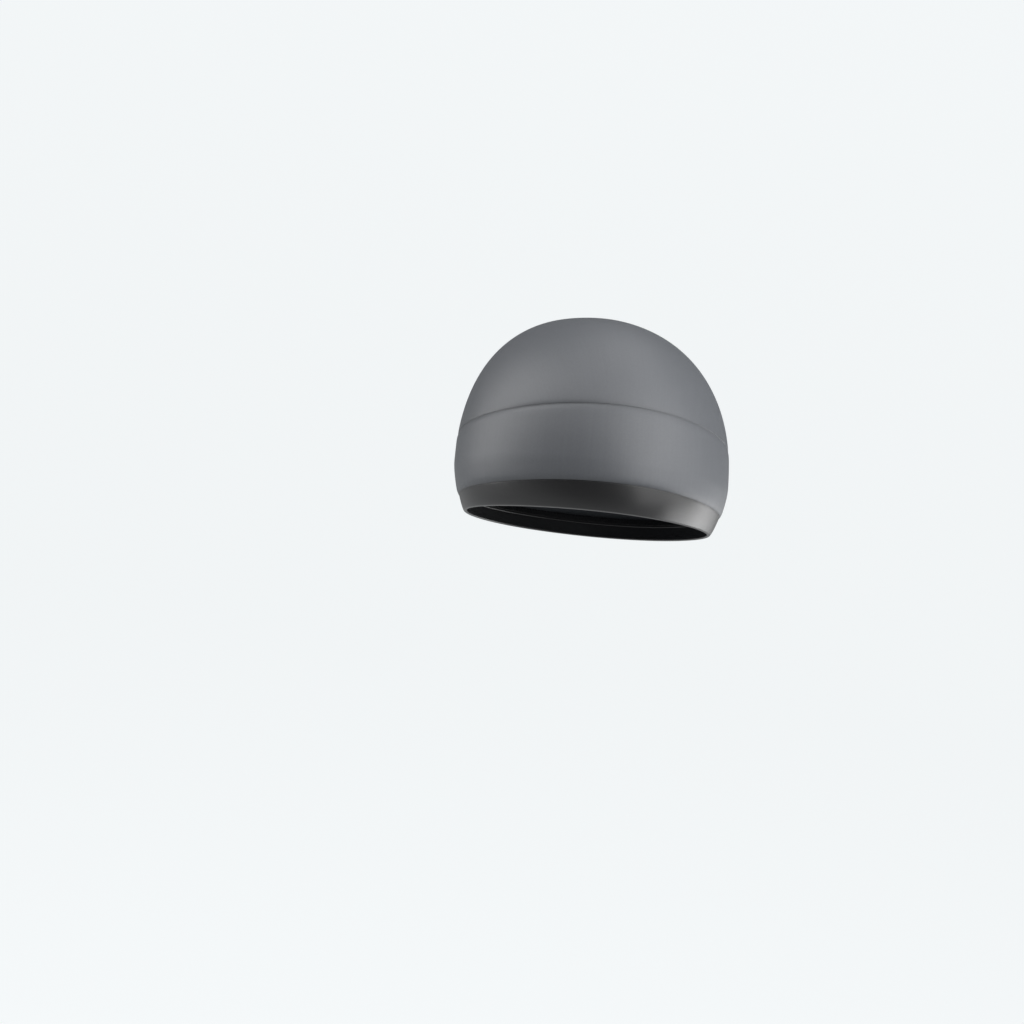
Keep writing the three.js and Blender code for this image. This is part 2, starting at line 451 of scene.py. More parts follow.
def make_mesh(name, points, faces, uvs):
    """A mesh object with a UV map in metres of cloth, its faces turned outwards."""
    mesh = bpy.data.meshes.new(name)
    if enclosed_volume(points, faces) < 0:
        faces = [face[::-1] for face in faces]
        uvs = [corner[::-1] for corner in uvs]
    mesh.from_pydata(points.tolist(), [], [list(face) for face in faces])
    layer = mesh.uv_layers.new(name="cloth")
    flat = np.concatenate([np.asarray(corner, float).reshape(-1) for corner in uvs])
    layer.uv.foreach_set("vector", flat.astype(np.float32))
    mesh.shade_smooth()
    mesh.update()
    piece = bpy.data.objects.new(name, mesh)
    bpy.context.scene.collection.objects.link(piece)
    return piece


def enclosed_volume(points, faces):
    """Six times the volume that the faces enclose, counted from their first corners."""
    total = 0.0
    for size in {len(face) for face in faces}:
        same = np.array([face for face in faces if len(face) == size])
        for k in range(1, size - 1):
            a, b, c = points[same[:, 0]], points[same[:, k]], points[same[:, k + 1]]
            total += np.einsum("ij,ij->", a, np.cross(b, c))
    return total


def row_lengths(points):
    """Distance along each column of a grid from its first row."""
    steps = np.linalg.norm(np.diff(points, axis=0), axis=-1)
    return np.concatenate([np.zeros((1, points.shape[1])), np.cumsum(steps, axis=0)])


def keep_painted_shade(piece, shade):
    """Stores the painted seam shade of each point of the cloth, for its material."""
    layer = piece.data.attributes.new("seam_painted_shade", "FLOAT", "POINT")
    layer.data.foreach_set("value", shade.reshape(-1).astype(np.float32))


def ring_piece(name, points, girth):
    """A closed ring from a grid of rows that closes on itself. Its knit runs up and round."""
    rows, steps = points.shape[:2]
    along = row_lengths(np.concatenate([points, points[:1]])).mean(axis=1)
    quads, places = faces_of(rows, steps, closed=True)
    uvs = np.stack([girth * places[..., 1] / steps, along[places[..., 0]]], axis=-1)
    return make_mesh(name, points.reshape(-1, 3), quads, uvs)


def dome_piece(name, points, around):
    """A closed dome: its first and last rows are single points on the axis. Its knit lies flat
    over the top, so that it runs from front to back."""
    rows, steps = points.shape[:2]
    down = row_lengths(points)
    arc = np.minimum(down, down[-1] - down)
    flat = np.stack([arc * np.sin(around), -arc * np.cos(around)], axis=-1)
    quads, places = faces_of(rows - 2, steps, closed=False)
    walls = flat[1:-1][places[..., 0], places[..., 1] % steps]
    ends = len(points[1:-1].reshape(-1, 3))
    verts = np.concatenate([points[1:-1].reshape(-1, 3), points[0, :1], points[-1, :1]])
    faces, uvs = list(quads), list(walls)
    for i in range(steps):
        n = (i + 1) % steps
        last = (rows - 3) * steps
        faces += [(ends, n, i), (ends + 1, last + i, last + n)]
        uvs += [
            np.array([flat[0, i], flat[1, n], flat[1, i]]),
            np.array([flat[-1, i], flat[-2, i], flat[-2, n]]),
        ]
    return make_mesh(name, verts, faces, uvs)


# How far a piece's corners may lie from those of the solid that it stands for.
FIT = 1.5 * MM


def stand_for(piece, node):
    """Puts a piece in place of a CAD node, after a look at whether it still fills the same box."""
    points = np.array([vertex.co[:] for vertex in piece.data.vertices])
    box = np.array([corner[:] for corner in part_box(node)])
    off = np.abs(np.array([points.min(axis=0), points.max(axis=0)]) - box).max()
    if off > FIT:
        raise RuntimeError(f"{piece.name} lies {off / MM:.1f} mm off the solid {node}")
    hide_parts(node)


def finish_piece(piece, material, node=None):
    """Gives a piece its material, and has it ride on the cap in place of the CAD node."""
    piece.data.materials.append(material)
    if node:
        stand_for(piece, node)
    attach(piece, BODY)


# Stations of the grids. The shown faces are fine, the hidden ones plain.
CROWN_STEPS, CROWN_ROWS, CROWN_INNER_ROWS = 384, 100, 34
PANEL_STEPS, PANEL_ROWS, PANEL_INNER_ROWS = 512, 54, 16
BAND_STEPS, BAND_ROWS, BAND_INNER_ROWS = 512, 22, 8
EDGE_STEPS = 4
SEAM_STEPS = 512
THREAD_SIDES = 6
STATIONS_PER_STITCH = 10

# How many times less the side panel's foot and the band's sewn edge are rounded than the others.
CRISPER = 3
# How many times as deep the middle of a seam's web lies as its edges.
WEB_HOLLOW = 1.25


def crown_grid(form, cloth):
    """Direction, rise and depth of the crown's rows: down its inner face, round its sewn edge and
    up its outer face."""
    around = round_the_cap(CROWN_STEPS)
    edge = crown_seam_rise(form, around) + seam_half(cloth)
    sine, drop = quarter(EDGE_STEPS)
    turn = cloth.edge_round

    def wall(rows, depth):
        """From the top down to where the rounded edge starts."""
        start = climb_at(form, edge + turn)
        shares = np.sin(np.pi / 2 * np.arange(rows + 1) / rows)[:, None]
        rise = rise_at(form, between(1, start, shares))
        return rise, np.full_like(rise, depth)

    inner, outer = wall(CROWN_INNER_ROWS, cloth.thickness), wall(CROWN_ROWS, 0)
    lip_depth = np.broadcast_to(turn * drop[1:, None], (EDGE_STEPS, CROWN_STEPS))
    lip = (edge + turn * (1 - sine[1:, None]), lip_depth)
    rise = np.concatenate([inner[0], lip[0], lip[0][::-1], outer[0][::-1]])
    depth = np.concatenate([inner[1], cloth.thickness - lip[1], lip[1][::-1], outer[1][::-1]])
    return np.broadcast_to(around, rise.shape), rise, depth


def wall_outline(lower, upper, rows, inner_rows, thickness, foot, crest):
    """Rise and depth of the rows of a wall: up its outer face and down its inner. Its lower edge
    is rounded by foot and its upper edge by crest."""
    sine, drop = quarter(EDGE_STEPS)
    ones = np.ones_like(upper)
    rising, rounding = sine[:, None] * ones, drop[:, None] * ones
    low, high = lower + foot, upper - crest
    outer = between(low, high, shares_to_both_ends(rows)[:, None])
    inner = between(low, high, shares_to_both_ends(inner_rows)[:, None])[::-1]
    rise = [outer, high + crest * rising[1:], high + crest * rising[::-1][:-1]]
    depth = [0 * outer, crest * rounding[1:], thickness - crest * rounding[::-1][:-1]]
    rise += [inner, low - foot * rising[1:], low - foot * rising[::-1][1:-1]]
    depth += [thickness + 0 * inner, thickness - foot * rounding[1:], foot * rounding[::-1][1:-1]]
    return np.concatenate(rise), np.concatenate(depth)


def panel_grid(form, cloth):
    """Direction, rise and depth of the side panel's rows: up its outer face and down its inner."""
    around = round_the_cap(PANEL_STEPS)
    lower = band_seam_rise(form, around) + seam_half(cloth)
    upper = crown_seam_rise(form, around) - seam_half(cloth)
    edge = cloth.edge_round
    rise, depth = wall_outline(
        lower, upper, PANEL_ROWS, PANEL_INNER_ROWS, cloth.thickness, edge / CRISPER, edge
    )
    return np.broadcast_to(around, rise.shape), rise, depth


def band_grid(form, cloth):
    """The rim band: its sewn edge above, and the fold at the rim, which turns in a little."""
    around = round_the_cap(BAND_STEPS)
    upper = band_seam_rise(form, around) - seam_half(cloth)
    wall, fold = cloth.band_thickness, cloth.band_thickness / 2
    rise, depth = wall_outline(
        0 * around, upper, BAND_ROWS, BAND_INNER_ROWS, wall, fold, cloth.edge_round / CRISPER
    )
    around = np.broadcast_to(around, rise.shape)
    curl = cloth.hem_curl * np.maximum(0, 1 - rise / upper) ** cloth.hem_tightness
    under = cloth.band_sink + curl + depth + cloth.sway / 2 - sway_at(form, cloth, around, rise) / 2
    return under_form(form, cloth, around, rise, under)


def seam_grid(form, cloth, seam_rise, turn, sink):
    """The sunk web of a seam and its flat allowance against the inside of the side panel."""
    around = round_the_cap(SEAM_STEPS)
    half, lap = seam_half(cloth), cloth.thickness + cloth.sewn_gap
    web, wall, bevel = half - cloth.sewn_gap / 4, cloth.allowance_thickness, cloth.web_bevel
    middle = between(web, cloth.allowance_width, 0.5)
    # Offset from the seam towards the allowance, and depth under the dipped cloth.
    outline = np.array(
        [
            (-web, sink + bevel),
            (bevel - web, sink),
            (3 * bevel - web, sink),
            (0, sink * WEB_HOLLOW),
            (web - 3 * bevel, sink),
            (web - bevel, sink),
            (web, sink + bevel),
            (web, lap),
            (middle, lap),
            (cloth.allowance_width - wall / 4, lap),
            (cloth.allowance_width, lap + wall / 4),
            (cloth.allowance_width, lap + wall * 3 / 4),
            (cloth.allowance_width - wall / 4, lap + wall),
            (middle, lap + wall),
            (web, lap + wall),
            (-web, lap + wall),
        ]
    )
    rise = seam_rise(form, around) + turn * outline[:, :1]
    depth = np.broadcast_to(outline[:, 1:], rise.shape)
    return cloth_face(form, cloth, np.broadcast_to(around, rise.shape), rise, depth)


def thread_piece(name, path, outward, radius):
    """A closed tube along a path, for sewing thread. Its UV map runs along and round it."""
    sides = THREAD_SIDES
    along = np.roll(path, -1, axis=0) - np.roll(path, 1, axis=0)
    along /= np.linalg.norm(along, axis=1, keepdims=True)
    side = np.cross(along, outward)
    side /= np.linalg.norm(side, axis=1, keepdims=True)
    up = np.cross(side, along)
    turns = 2 * np.pi * np.arange(sides) / sides
    rings = [path + radius * (math.cos(t) * side + math.sin(t) * up) for t in turns]
    points = np.stack(rings)
    steps = len(path)
    spans = np.linalg.norm(np.roll(path, -1, axis=0) - path, axis=1)
    run = np.concatenate([[0], np.cumsum(spans)])
    quads, places = faces_of(sides, steps, closed=True)
    uvs = np.stack([run[places[..., 1]], 2 * np.pi * radius * places[..., 0] / sides], axis=-1)
    return make_mesh(name, points.reshape(-1, 3), quads, uvs)


def stitch_piece(name, form, cloth, seam_rise, turn, offset, depth):
    """Thread that repeats one stitch all round a seam. Offset and depth are functions of the share
    of the stitch that has been sewn."""
    stitches = stitches_round(form, cloth)
    share = np.arange(stitches * STATIONS_PER_STITCH) / STATIONS_PER_STITCH
    around = np.pi + 2 * np.pi * share / stitches
    rise = seam_rise(form, around) + turn * offset(share % 1)
    path = cloth_face(form, cloth, around, rise, depth(share % 1))
    outward = turned(form, outward_at(form, around, climb_at(form, rise)))
    return thread_piece(name, path, outward, cloth.thread)


def stitches_round(form, cloth):
    """How many stitches go round a seam."""
    girth = np.pi * (form.breadth + form.front_reach + form.back_reach) / 2
    return round(girth / cloth.stitch)


def swing(share):
    """0 at both ends of a stitch and 1 at its middle."""
    return (1 - np.cos(2 * np.pi * share)) / 2


# The needle's line, as a share of the allowance's width, and how deep the threads lie on the
# allowance, in radii of the thread.
NEEDLE_LINE = 0.25
NEEDLE_DEPTH, NEEDLE_CHANGE = 2.4, 1.2
OVERLOCK_CHANGE = 0.3


def seam_threads(cloth, sink, laddered):
    """The threads of a seam: name to offset and depth along one stitch. The overlock swings over
    the allowance, the needle's thread holds it, and the ladder crosses the sunk line outside."""
    lap = cloth.thickness + cloth.sewn_gap + cloth.allowance_thickness
    reach, radius = cloth.allowance_width, cloth.thread
    threads = {
        "_overlock": (
            lambda s: between(NEEDLE_LINE, 1, swing(s)) * reach,
            lambda s: lap + radius * (1 + OVERLOCK_CHANGE * np.sin(2 * np.pi * s)),
        ),
        "_needle": (
            lambda s: NEEDLE_LINE * reach + 0 * s,
            lambda s: lap + radius * (NEEDLE_DEPTH - NEEDLE_CHANGE * np.cos(2 * np.pi * s)),
        ),
    }
    if laddered:
        threads["_ladder"] = (
            lambda s: cloth.seam_width / 2 * np.cos(2 * np.pi * s),
            lambda s: sink + radius / 2 + 0 * s,
        )
    return threads


def whole_girth(form, unit):
    """A girth of whole wales or ribs, so that the knit meets itself behind."""
    return unit * round(np.pi * form.breadth / unit)


# Materials


def add_node(tree, kind, inputs=None, **values):
    """A node with settings by name and input values by socket name or number."""
    made = tree.nodes.new(kind)
    for name, value in values.items():
        setattr(made, name, value)
    for name, value in (inputs or {}).items():
        if isinstance(value, bpy.types.NodeSocket):
            tree.links.new(value, made.inputs[name])
        else:
            made.inputs[name].default_value = value
    return made


def math_node(tree, operation, first, second=0.0, third=0.0):
    inputs = {0: first, 1: second, 2: third}
    return add_node(tree, "ShaderNodeMath", inputs, operation=operation).outputs[0]


def new_group(name, inputs, outputs):
    """A shader node group with named sockets: name to (kind, default)."""
    group = bpy.data.node_groups.new(name, "ShaderNodeTree")
    for label, (kind, default) in inputs.items():
        socket = group.interface.new_socket(name=label, in_out="INPUT", socket_type=kind)
        if default is not None:
            socket.default_value = default
    for label, kind in outputs.items():
        group.interface.new_socket(name=label, in_out="OUTPUT", socket_type=kind)
    return group, group.nodes.new("NodeGroupInput"), group.nodes.new("NodeGroupOutput")


# Plain knit: how far a leg of a loop leans, in courses; the change and the mean of its height;
# how squarely a column ends; what height adds to the tone, and the tone of the hollows.
# The tone from the height is painted shade: the knit's hollows are darker.
KNIT_LEAN = 0.8
KNIT_WAVE, KNIT_MEAN = 0.25, 0.75
KNIT_SQUARENESS = 3.0
KNIT_LIFT, KNIT_HOLLOW_SHADE = 0.12, 0.92
# Streaks for each metre across and along the columns.
STREAKS_ACROSS, STREAKS_ALONG = 600, 16

# Elastic: the change and the mean of a rib's height over its wefts, and the tone in the same way.
# The tone from the height is painted shade: the hollows between the ribs are darker.
WEFT_WAVE, WEFT_MEAN = 0.12, 0.88
RIB_LIFT, RIB_HOLLOW_SHADE = 0.16, 0.88

# Unevenness: patches for each metre of the slow and the fine kind, the fine one's weight, and how
# much of it a cloth gets.
SLOW_PATCHES, FINE_PATCHES = 14.0, 900.0
FINE_WEIGHT = 1.6
UNEVENNESS = 0.10

# Cloths: roughness, specular level and relief.
KNIT_LOOK = (0.46, 0.5, 0.02 * MM)
ELASTIC_LOOK = (0.32, 0.7, 0.015 * MM)

# Thread: length of one twist, relief, roughness, and the tone in the same way.
# The tone from the height is painted shade: the hollows between the plies are darker.
PLY_TWIST, PLY_RELIEF, THREAD_ROUGHNESS = 0.45 * MM, 0.04 * MM, 0.55
PLY_LIFT, PLY_HOLLOW_SHADE = 0.3, 0.8

# Backdrop: paper, the colour of its glow, roughness, clouds for each metre, and the tone in the
# same way.
PAPER, PAPER_GLOW = (0.06, 0.063, 0.065), (0.96, 0.99, 1.0, 1)
PAPER_ROUGHNESS = 0.95
PAPER_CLOUDS, CLOUD_LIFT, CLOUD_TONE = 1.5, 0.02, 0.99


def jersey_group():
    """Plain knit: columns of small V-shaped loops, as a height and as a painted shade that darkens
    their hollows. Faint streaks run along the columns, where the yarn lies a little closer or
    wider."""
    group, source, sink = new_group(
        "Jersey knit",
        {
            "Vector": ("NodeSocketVector", None),
            "Wale": ("NodeSocketFloat", 0.6 * MM),
            "Course": ("NodeSocketFloat", 0.5 * MM),
            "Streaks": ("NodeSocketFloat", 0.10),
        },
        {"Height": "NodeSocketFloat", "Shade": "NodeSocketFloat"},
    )
    place = add_node(group, "ShaderNodeSeparateXYZ", {0: source.outputs["Vector"]})
    across = math_node(group, "DIVIDE", place.outputs[0], source.outputs["Wale"])
    along = math_node(group, "DIVIDE", place.outputs[1], source.outputs["Course"])
    middle = math_node(group, "SUBTRACT", math_node(group, "FRACT", across), 0.5)
    side = math_node(group, "MULTIPLY", math_node(group, "ABSOLUTE", middle), 2.0)
    leg = math_node(group, "ADD", along, math_node(group, "MULTIPLY", side, KNIT_LEAN))
    wave = math_node(group, "SINE", math_node(group, "MULTIPLY", leg, 2 * math.pi))
    loop = math_node(group, "MULTIPLY_ADD", wave, KNIT_WAVE, KNIT_MEAN)
    column = math_node(group, "SUBTRACT", 1.0, math_node(group, "POWER", side, KNIT_SQUARENESS))
    height = math_node(group, "MULTIPLY", loop, column)
    knit = math_node(group, "MULTIPLY_ADD", height, KNIT_LIFT, KNIT_HOLLOW_SHADE)
    stretched = {0: source.outputs["Vector"], 1: (STREAKS_ACROSS, STREAKS_ALONG, 0)}
    drawn = add_node(group, "ShaderNodeVectorMath", stretched, operation="MULTIPLY")
    noise = {"Vector": drawn.outputs[0], "Scale": 1.0, "Detail": 2.0}
    streak = add_node(group, "ShaderNodeTexNoise", noise).outputs["Fac"]
    centred = math_node(group, "SUBTRACT", streak, 0.5)
    tone = math_node(group, "MULTIPLY_ADD", centred, source.outputs["Streaks"], 1.0)
    group.links.new(height, sink.inputs["Height"])
    group.links.new(math_node(group, "MULTIPLY", knit, tone), sink.inputs["Shade"])
    return group


def rib_group():
    """Fine upright ribs of an elastic band, crossed by its weft, with painted shade in the hollows
    between the ribs.
    """
    group, source, sink = new_group(
        "Elastic ribs",
        {
            "Vector": ("NodeSocketVector", None),
            "Rib": ("NodeSocketFloat", 0.9 * MM),
            "Weft": ("NodeSocketFloat", 0.6 * MM),
        },
        {"Height": "NodeSocketFloat", "Shade": "NodeSocketFloat"},
    )
    place = add_node(group, "ShaderNodeSeparateXYZ", {0: source.outputs["Vector"]})
    across = math_node(group, "DIVIDE", place.outputs[0], source.outputs["Rib"])
    along = math_node(group, "DIVIDE", place.outputs[1], source.outputs["Weft"])
    half_wave = math_node(group, "SINE", math_node(group, "MULTIPLY", across, math.pi))
    bulge = math_node(group, "ABSOLUTE", half_wave)
    wave = math_node(group, "SINE", math_node(group, "MULTIPLY", along, 2 * math.pi))
    weft = math_node(group, "MULTIPLY_ADD", wave, WEFT_WAVE, WEFT_MEAN)
    height = math_node(group, "MULTIPLY", bulge, weft)
    shade = math_node(group, "MULTIPLY_ADD", height, RIB_LIFT, RIB_HOLLOW_SHADE)
    group.links.new(height, sink.inputs["Height"])
    group.links.new(shade, sink.inputs["Shade"])
    return group


def unevenness_group():
    """Slow and fine variation of a cloth's tone and gloss, in the space of the object."""
    group, source, sink = new_group(
        "Cloth unevenness",
        {"Amount": ("NodeSocketFloat", 0.05)},
        {"Tone": "NodeSocketFloat", "Gloss": "NodeSocketFloat"},
    )
    place = group.nodes.new("ShaderNodeTexCoord").outputs["Object"]
    for patches, detail, weight, label in (
        (SLOW_PATCHES, 3.0, 1.0, "Gloss"),
        (FINE_PATCHES, 2.0, FINE_WEIGHT, "Tone"),
    ):
        noise = {"Vector": place, "Scale": patches, "Detail": detail}
        texture = add_node(group, "ShaderNodeTexNoise", noise)
        centred = math_node(group, "SUBTRACT", texture.outputs["Fac"], 0.5)
        scaled = math_node(group, "MULTIPLY", centred, source.outputs["Amount"])
        value = math_node(group, "MULTIPLY_ADD", scaled, weight, 1.0)
        group.links.new(value, sink.inputs[label])
    return group


def uv_vector(tree):
    return add_node(tree, "ShaderNodeUVMap", uv_map="cloth").outputs["UV"]


def shared_group(name, maker):
    """The node group of that name, made once."""
    return bpy.data.node_groups.get(name) or maker()


def cloth_material(name, tint, structure, structure_inputs, look):
    """A satin cloth: its structure gives relief and a painted shade in its hollows, the unevenness
    tone and gloss.
    """
    roughness, specular, relief = look
    material = bpy.data.materials.new(name)
    material.use_nodes = True
    tree = material.node_tree
    shader = tree.nodes["Principled BSDF"]
    knit = add_node(tree, "ShaderNodeGroup", node_tree=structure)
    tree.links.new(uv_vector(tree), knit.inputs["Vector"])
    for label, value in structure_inputs.items():
        knit.inputs[label].default_value = value
    unevenness = shared_group("Cloth unevenness", unevenness_group)
    uneven = add_node(tree, "ShaderNodeGroup", node_tree=unevenness)
    uneven.inputs["Amount"].default_value = UNEVENNESS
    tone = math_node(tree, "MULTIPLY", knit.outputs["Shade"], uneven.outputs["Tone"])
    scaled = {0: tuple(tint), "Scale": tone}
    base = add_node(tree, "ShaderNodeVectorMath", scaled, operation="SCALE", name="base colour")
    tree.links.new(base.outputs[0], shader.inputs["Base Color"])
    gloss = math_node(tree, "MULTIPLY", uneven.outputs["Gloss"], roughness)
    tree.links.new(gloss, shader.inputs["Roughness"])
    bump = add_node(tree, "ShaderNodeBump", {"Height": knit.outputs["Height"], "Distance": relief})
    tree.links.new(bump.outputs["Normal"], shader.inputs["Normal"])
    shader.inputs["Specular IOR Level"].default_value = specular
    return material


def thread_material(name, tint):
    """Twisted sewing thread: slanting plies, from the UV map that runs along and round it, with
    painted shade in the hollows between the plies.
    """
    material = bpy.data.materials.new(name)
    material.use_nodes = True
    tree = material.node_tree
    shader = tree.nodes["Principled BSDF"]
    place = add_node(tree, "ShaderNodeSeparateXYZ", {0: uv_vector(tree)})
    slant = math_node(tree, "ADD", place.outputs[0], place.outputs[1])
    ply = math_node(tree, "SINE", math_node(tree, "MULTIPLY", slant, 2 * math.pi / PLY_TWIST))
    height = math_node(tree, "MULTIPLY_ADD", ply, 0.5, 0.5)
    shade = math_node(tree, "MULTIPLY_ADD", height, PLY_LIFT, PLY_HOLLOW_SHADE)
    scaled = {0: tuple(tint), "Scale": shade}
    base = add_node(tree, "ShaderNodeVectorMath", scaled, operation="SCALE")
    tree.links.new(base.outputs[0], shader.inputs["Base Color"])
    bump = add_node(tree, "ShaderNodeBump", {"Height": height, "Distance": PLY_RELIEF})
    tree.links.new(bump.outputs["Normal"], shader.inputs["Normal"])
    shader.inputs["Roughness"].default_value = THREAD_ROUGHNESS
    return material


def stage_material(glow):
    """Plain pale paper with a very slight cloudiness, lit evenly from behind."""
    material = bpy.data.materials.new("pale_paper")
    material.use_nodes = True
    tree = material.node_tree
    shader = tree.nodes["Principled BSDF"]
    place = tree.nodes.new("ShaderNodeTexCoord").outputs["Object"]
    cloud = add_node(tree, "ShaderNodeTexNoise", {"Vector": place, "Scale": PAPER_CLOUDS})
    tone = math_node(tree, "MULTIPLY_ADD", cloud.outputs["Fac"], CLOUD_LIFT, CLOUD_TONE)
    scaled = {0: PAPER, "Scale": tone}
    paper = add_node(tree, "ShaderNodeVectorMath", scaled, operation="SCALE")
    tree.links.new(paper.outputs[0], shader.inputs["Base Color"])
    shader.inputs["Roughness"].default_value = PAPER_ROUGHNESS
    shader.inputs["Specular IOR Level"].default_value = 0.0
    shader.inputs["Emission Color"].default_value = PAPER_GLOW
    shader.inputs["Emission Strength"].default_value = glow
    return material


def knit_cloth(name, tint, finish):
    knit = shared_group("Jersey knit", jersey_group)
    stitch = {"Wale": finish.wale, "Course": finish.course}
    return cloth_material(name, tint, knit, stitch, KNIT_LOOK)


def elastic_cloth(name, finish):
    ribs = shared_group("Elastic ribs", rib_group)
    rib = {"Rib": finish.rib, "Weft": finish.weft}
    return cloth_material(name, finish.band_colour, ribs, rib, ELASTIC_LOOK)


def apply_painted_shade(material):
    """Paints the seam shade into the cloth: scales the base colour by the shade that is stored on
    the cloth's points.
    """
    tree = material.node_tree
    base = tree.nodes["base colour"]
    stored = add_node(tree, "ShaderNodeAttribute", attribute_name="seam_painted_shade").outputs["Fac"]
    tone = base.inputs["Scale"].links[0].from_socket
    tree.links.new(math_node(tree, "MULTIPLY", tone, stored), base.inputs["Scale"])


# Operators


class CapOperator:
    """What the operators share: the scene's sizes and finishes."""

    bl_options = {"REGISTER", "UNDO"}

    @staticmethod
    def settings():
        scene = bpy.context.scene
        return scene.cap_form, scene.cap_cloth, scene.cap_finish


class CAP_OT_crown(CapOperator, bpy.types.Operator):
    """Make the crown, the knitted dome above the crown seam"""

    bl_idname = "cap.crown"
    bl_label = "Crown"

    def execute(self, context):
        form, cloth, finish = self.settings()
        around, rise, depth = crown_grid(form, cloth)
        points = cloth_face(form, cloth, around, rise, depth)
        piece = dome_piece("crown_knit", points, around[0])
        # Painted shade along the crown seam, kept on the points and multiplied into the knit's
        # colour.
        shade = painted_shade_at(form, cloth, finish, around, rise)
        keep_painted_shade(piece, np.concatenate([shade[1:-1].reshape(-1), shade[0, :1], shade[-1, :1]]))
        material = knit_cloth("crown_knit", finish.crown_colour, finish)
        apply_painted_shade(material)
        finish_piece(piece, material, "crown")
        # An oval cut, rather smaller than the worn dome.
        return {"FINISHED"}


class CAP_OT_side_panel(CapOperator, bpy.types.Operator):
    """Make the side panel, the knitted wall between the crown and the rim band"""

    bl_idname = "cap.side_panel"
    bl_label = "Side Panel"

    def execute(self, context):
        form, cloth, finish = self.settings()
        around, rise, depth = panel_grid(form, cloth)
        points = cloth_face(form, cloth, around, rise, depth)
        piece = ring_piece("side_panel_knit", points, whole_girth(form, finish.wale))
        # Painted shade along both seams, kept on the points and multiplied into the knit's colour.
        keep_painted_shade(piece, painted_shade_at(form, cloth, finish, around, rise))
        material = knit_cloth("side_panel_knit", finish.panel_colour, finish)
        apply_painted_shade(material)
        finish_piece(piece, material, "side_panel")
        # A curved strip, lower at its ends, which meet behind.
        return {"FINISHED"}


class CAP_OT_rim_band(CapOperator, bpy.types.Operator):
    """Make the rim band, the folded elastic edge of the opening"""

    bl_idname = "cap.rim_band"
    bl_label = "Rim Band"

    def execute(self, context):
        form, cloth, finish = self.settings()
        girth = whole_girth(form, finish.rib)
        piece = ring_piece("rim_band_elastic", band_grid(form, cloth), girth)
        finish_piece(piece, elastic_cloth("rim_band_elastic", finish), "rim_band")
        # As sewn: folded double along the rim, lower at its ends, which meet behind.
        return {"FINISHED"}


class CAP_OT_seams(CapOperator, bpy.types.Operator):
    """Make both seams with their turned allowances and sewing threads"""

    bl_idname = "cap.seams"
    bl_label = "Seams"

    def sew(self, name, seam_rise, turn, sink, web, tint):
        """One seam. Its allowance turns up where turn is 1, and down where it is -1."""
        form, cloth, finish = self.settings()
        girth = whole_girth(form, finish.wale)
        piece = ring_piece(name + "_web", seam_grid(form, cloth, seam_rise, turn, sink), girth)
        finish_piece(piece, web, name)
        thread = thread_material(name + "_thread", tint)
        # Only the crown seam's line is open enough to show a thread across it.
        threads = seam_threads(cloth, sink, laddered=name == "crown_seam")
        for label, (offset, depth) in threads.items():
            sewn = stitch_piece(name + label, form, cloth, seam_rise, turn, offset, depth)
            finish_piece(sewn, thread)

    def execute(self, context):
        _, cloth, finish = self.settings()
        web = knit_cloth("crown_seam_web", finish.crown_colour, finish)
        self.sew("crown_seam", crown_seam_rise, -1, cloth.crown_seam_sink, web, finish.crown_thread)
        web = elastic_cloth("band_seam_web", finish)
        self.sew("band_seam", band_seam_rise, 1, cloth.band_seam_sink, web, finish.band_thread)
        return {"FINISHED"}


class CAP_OT_studio(CapOperator, bpy.types.Operator):
    """Make the pale stage, the softboxes and the camera"""

    bl_idname = "cap.studio"
    bl_label = "Studio"

    def execute(self, context):
        studio = context.scene.cap_studio
        make_stage(studio)
        make_lights(studio)
        make_camera(studio)
        return {"FINISHED"}


# Studio


STAGE_RADIUS = 2.6
STAGE_BEND = 1.0
STAGE_HEIGHT = 4.0
STAGE_INNER_RINGS = (0.05, 0.4, 1.0)
STAGE_STEPS, STAGE_BEND_STEPS = 96, 24
LIGHT_DISTANCE = 1.3
# The pale floor as light: height of the direction where it starts and where it is full.
FLOOR_SPAN, UNDER_SPAN = (-0.05, -0.35), (-0.5, -1.0)
FLOOR_TINT = (0.97, 0.99, 1, 1)


def direction(around, above):
    """Unit vector away from the cap: around is 0 at the front, above is 0 on the level."""
    level = math.cos(above)
    return Vector((math.sin(around) * level, -math.cos(around) * level, math.sin(above)))


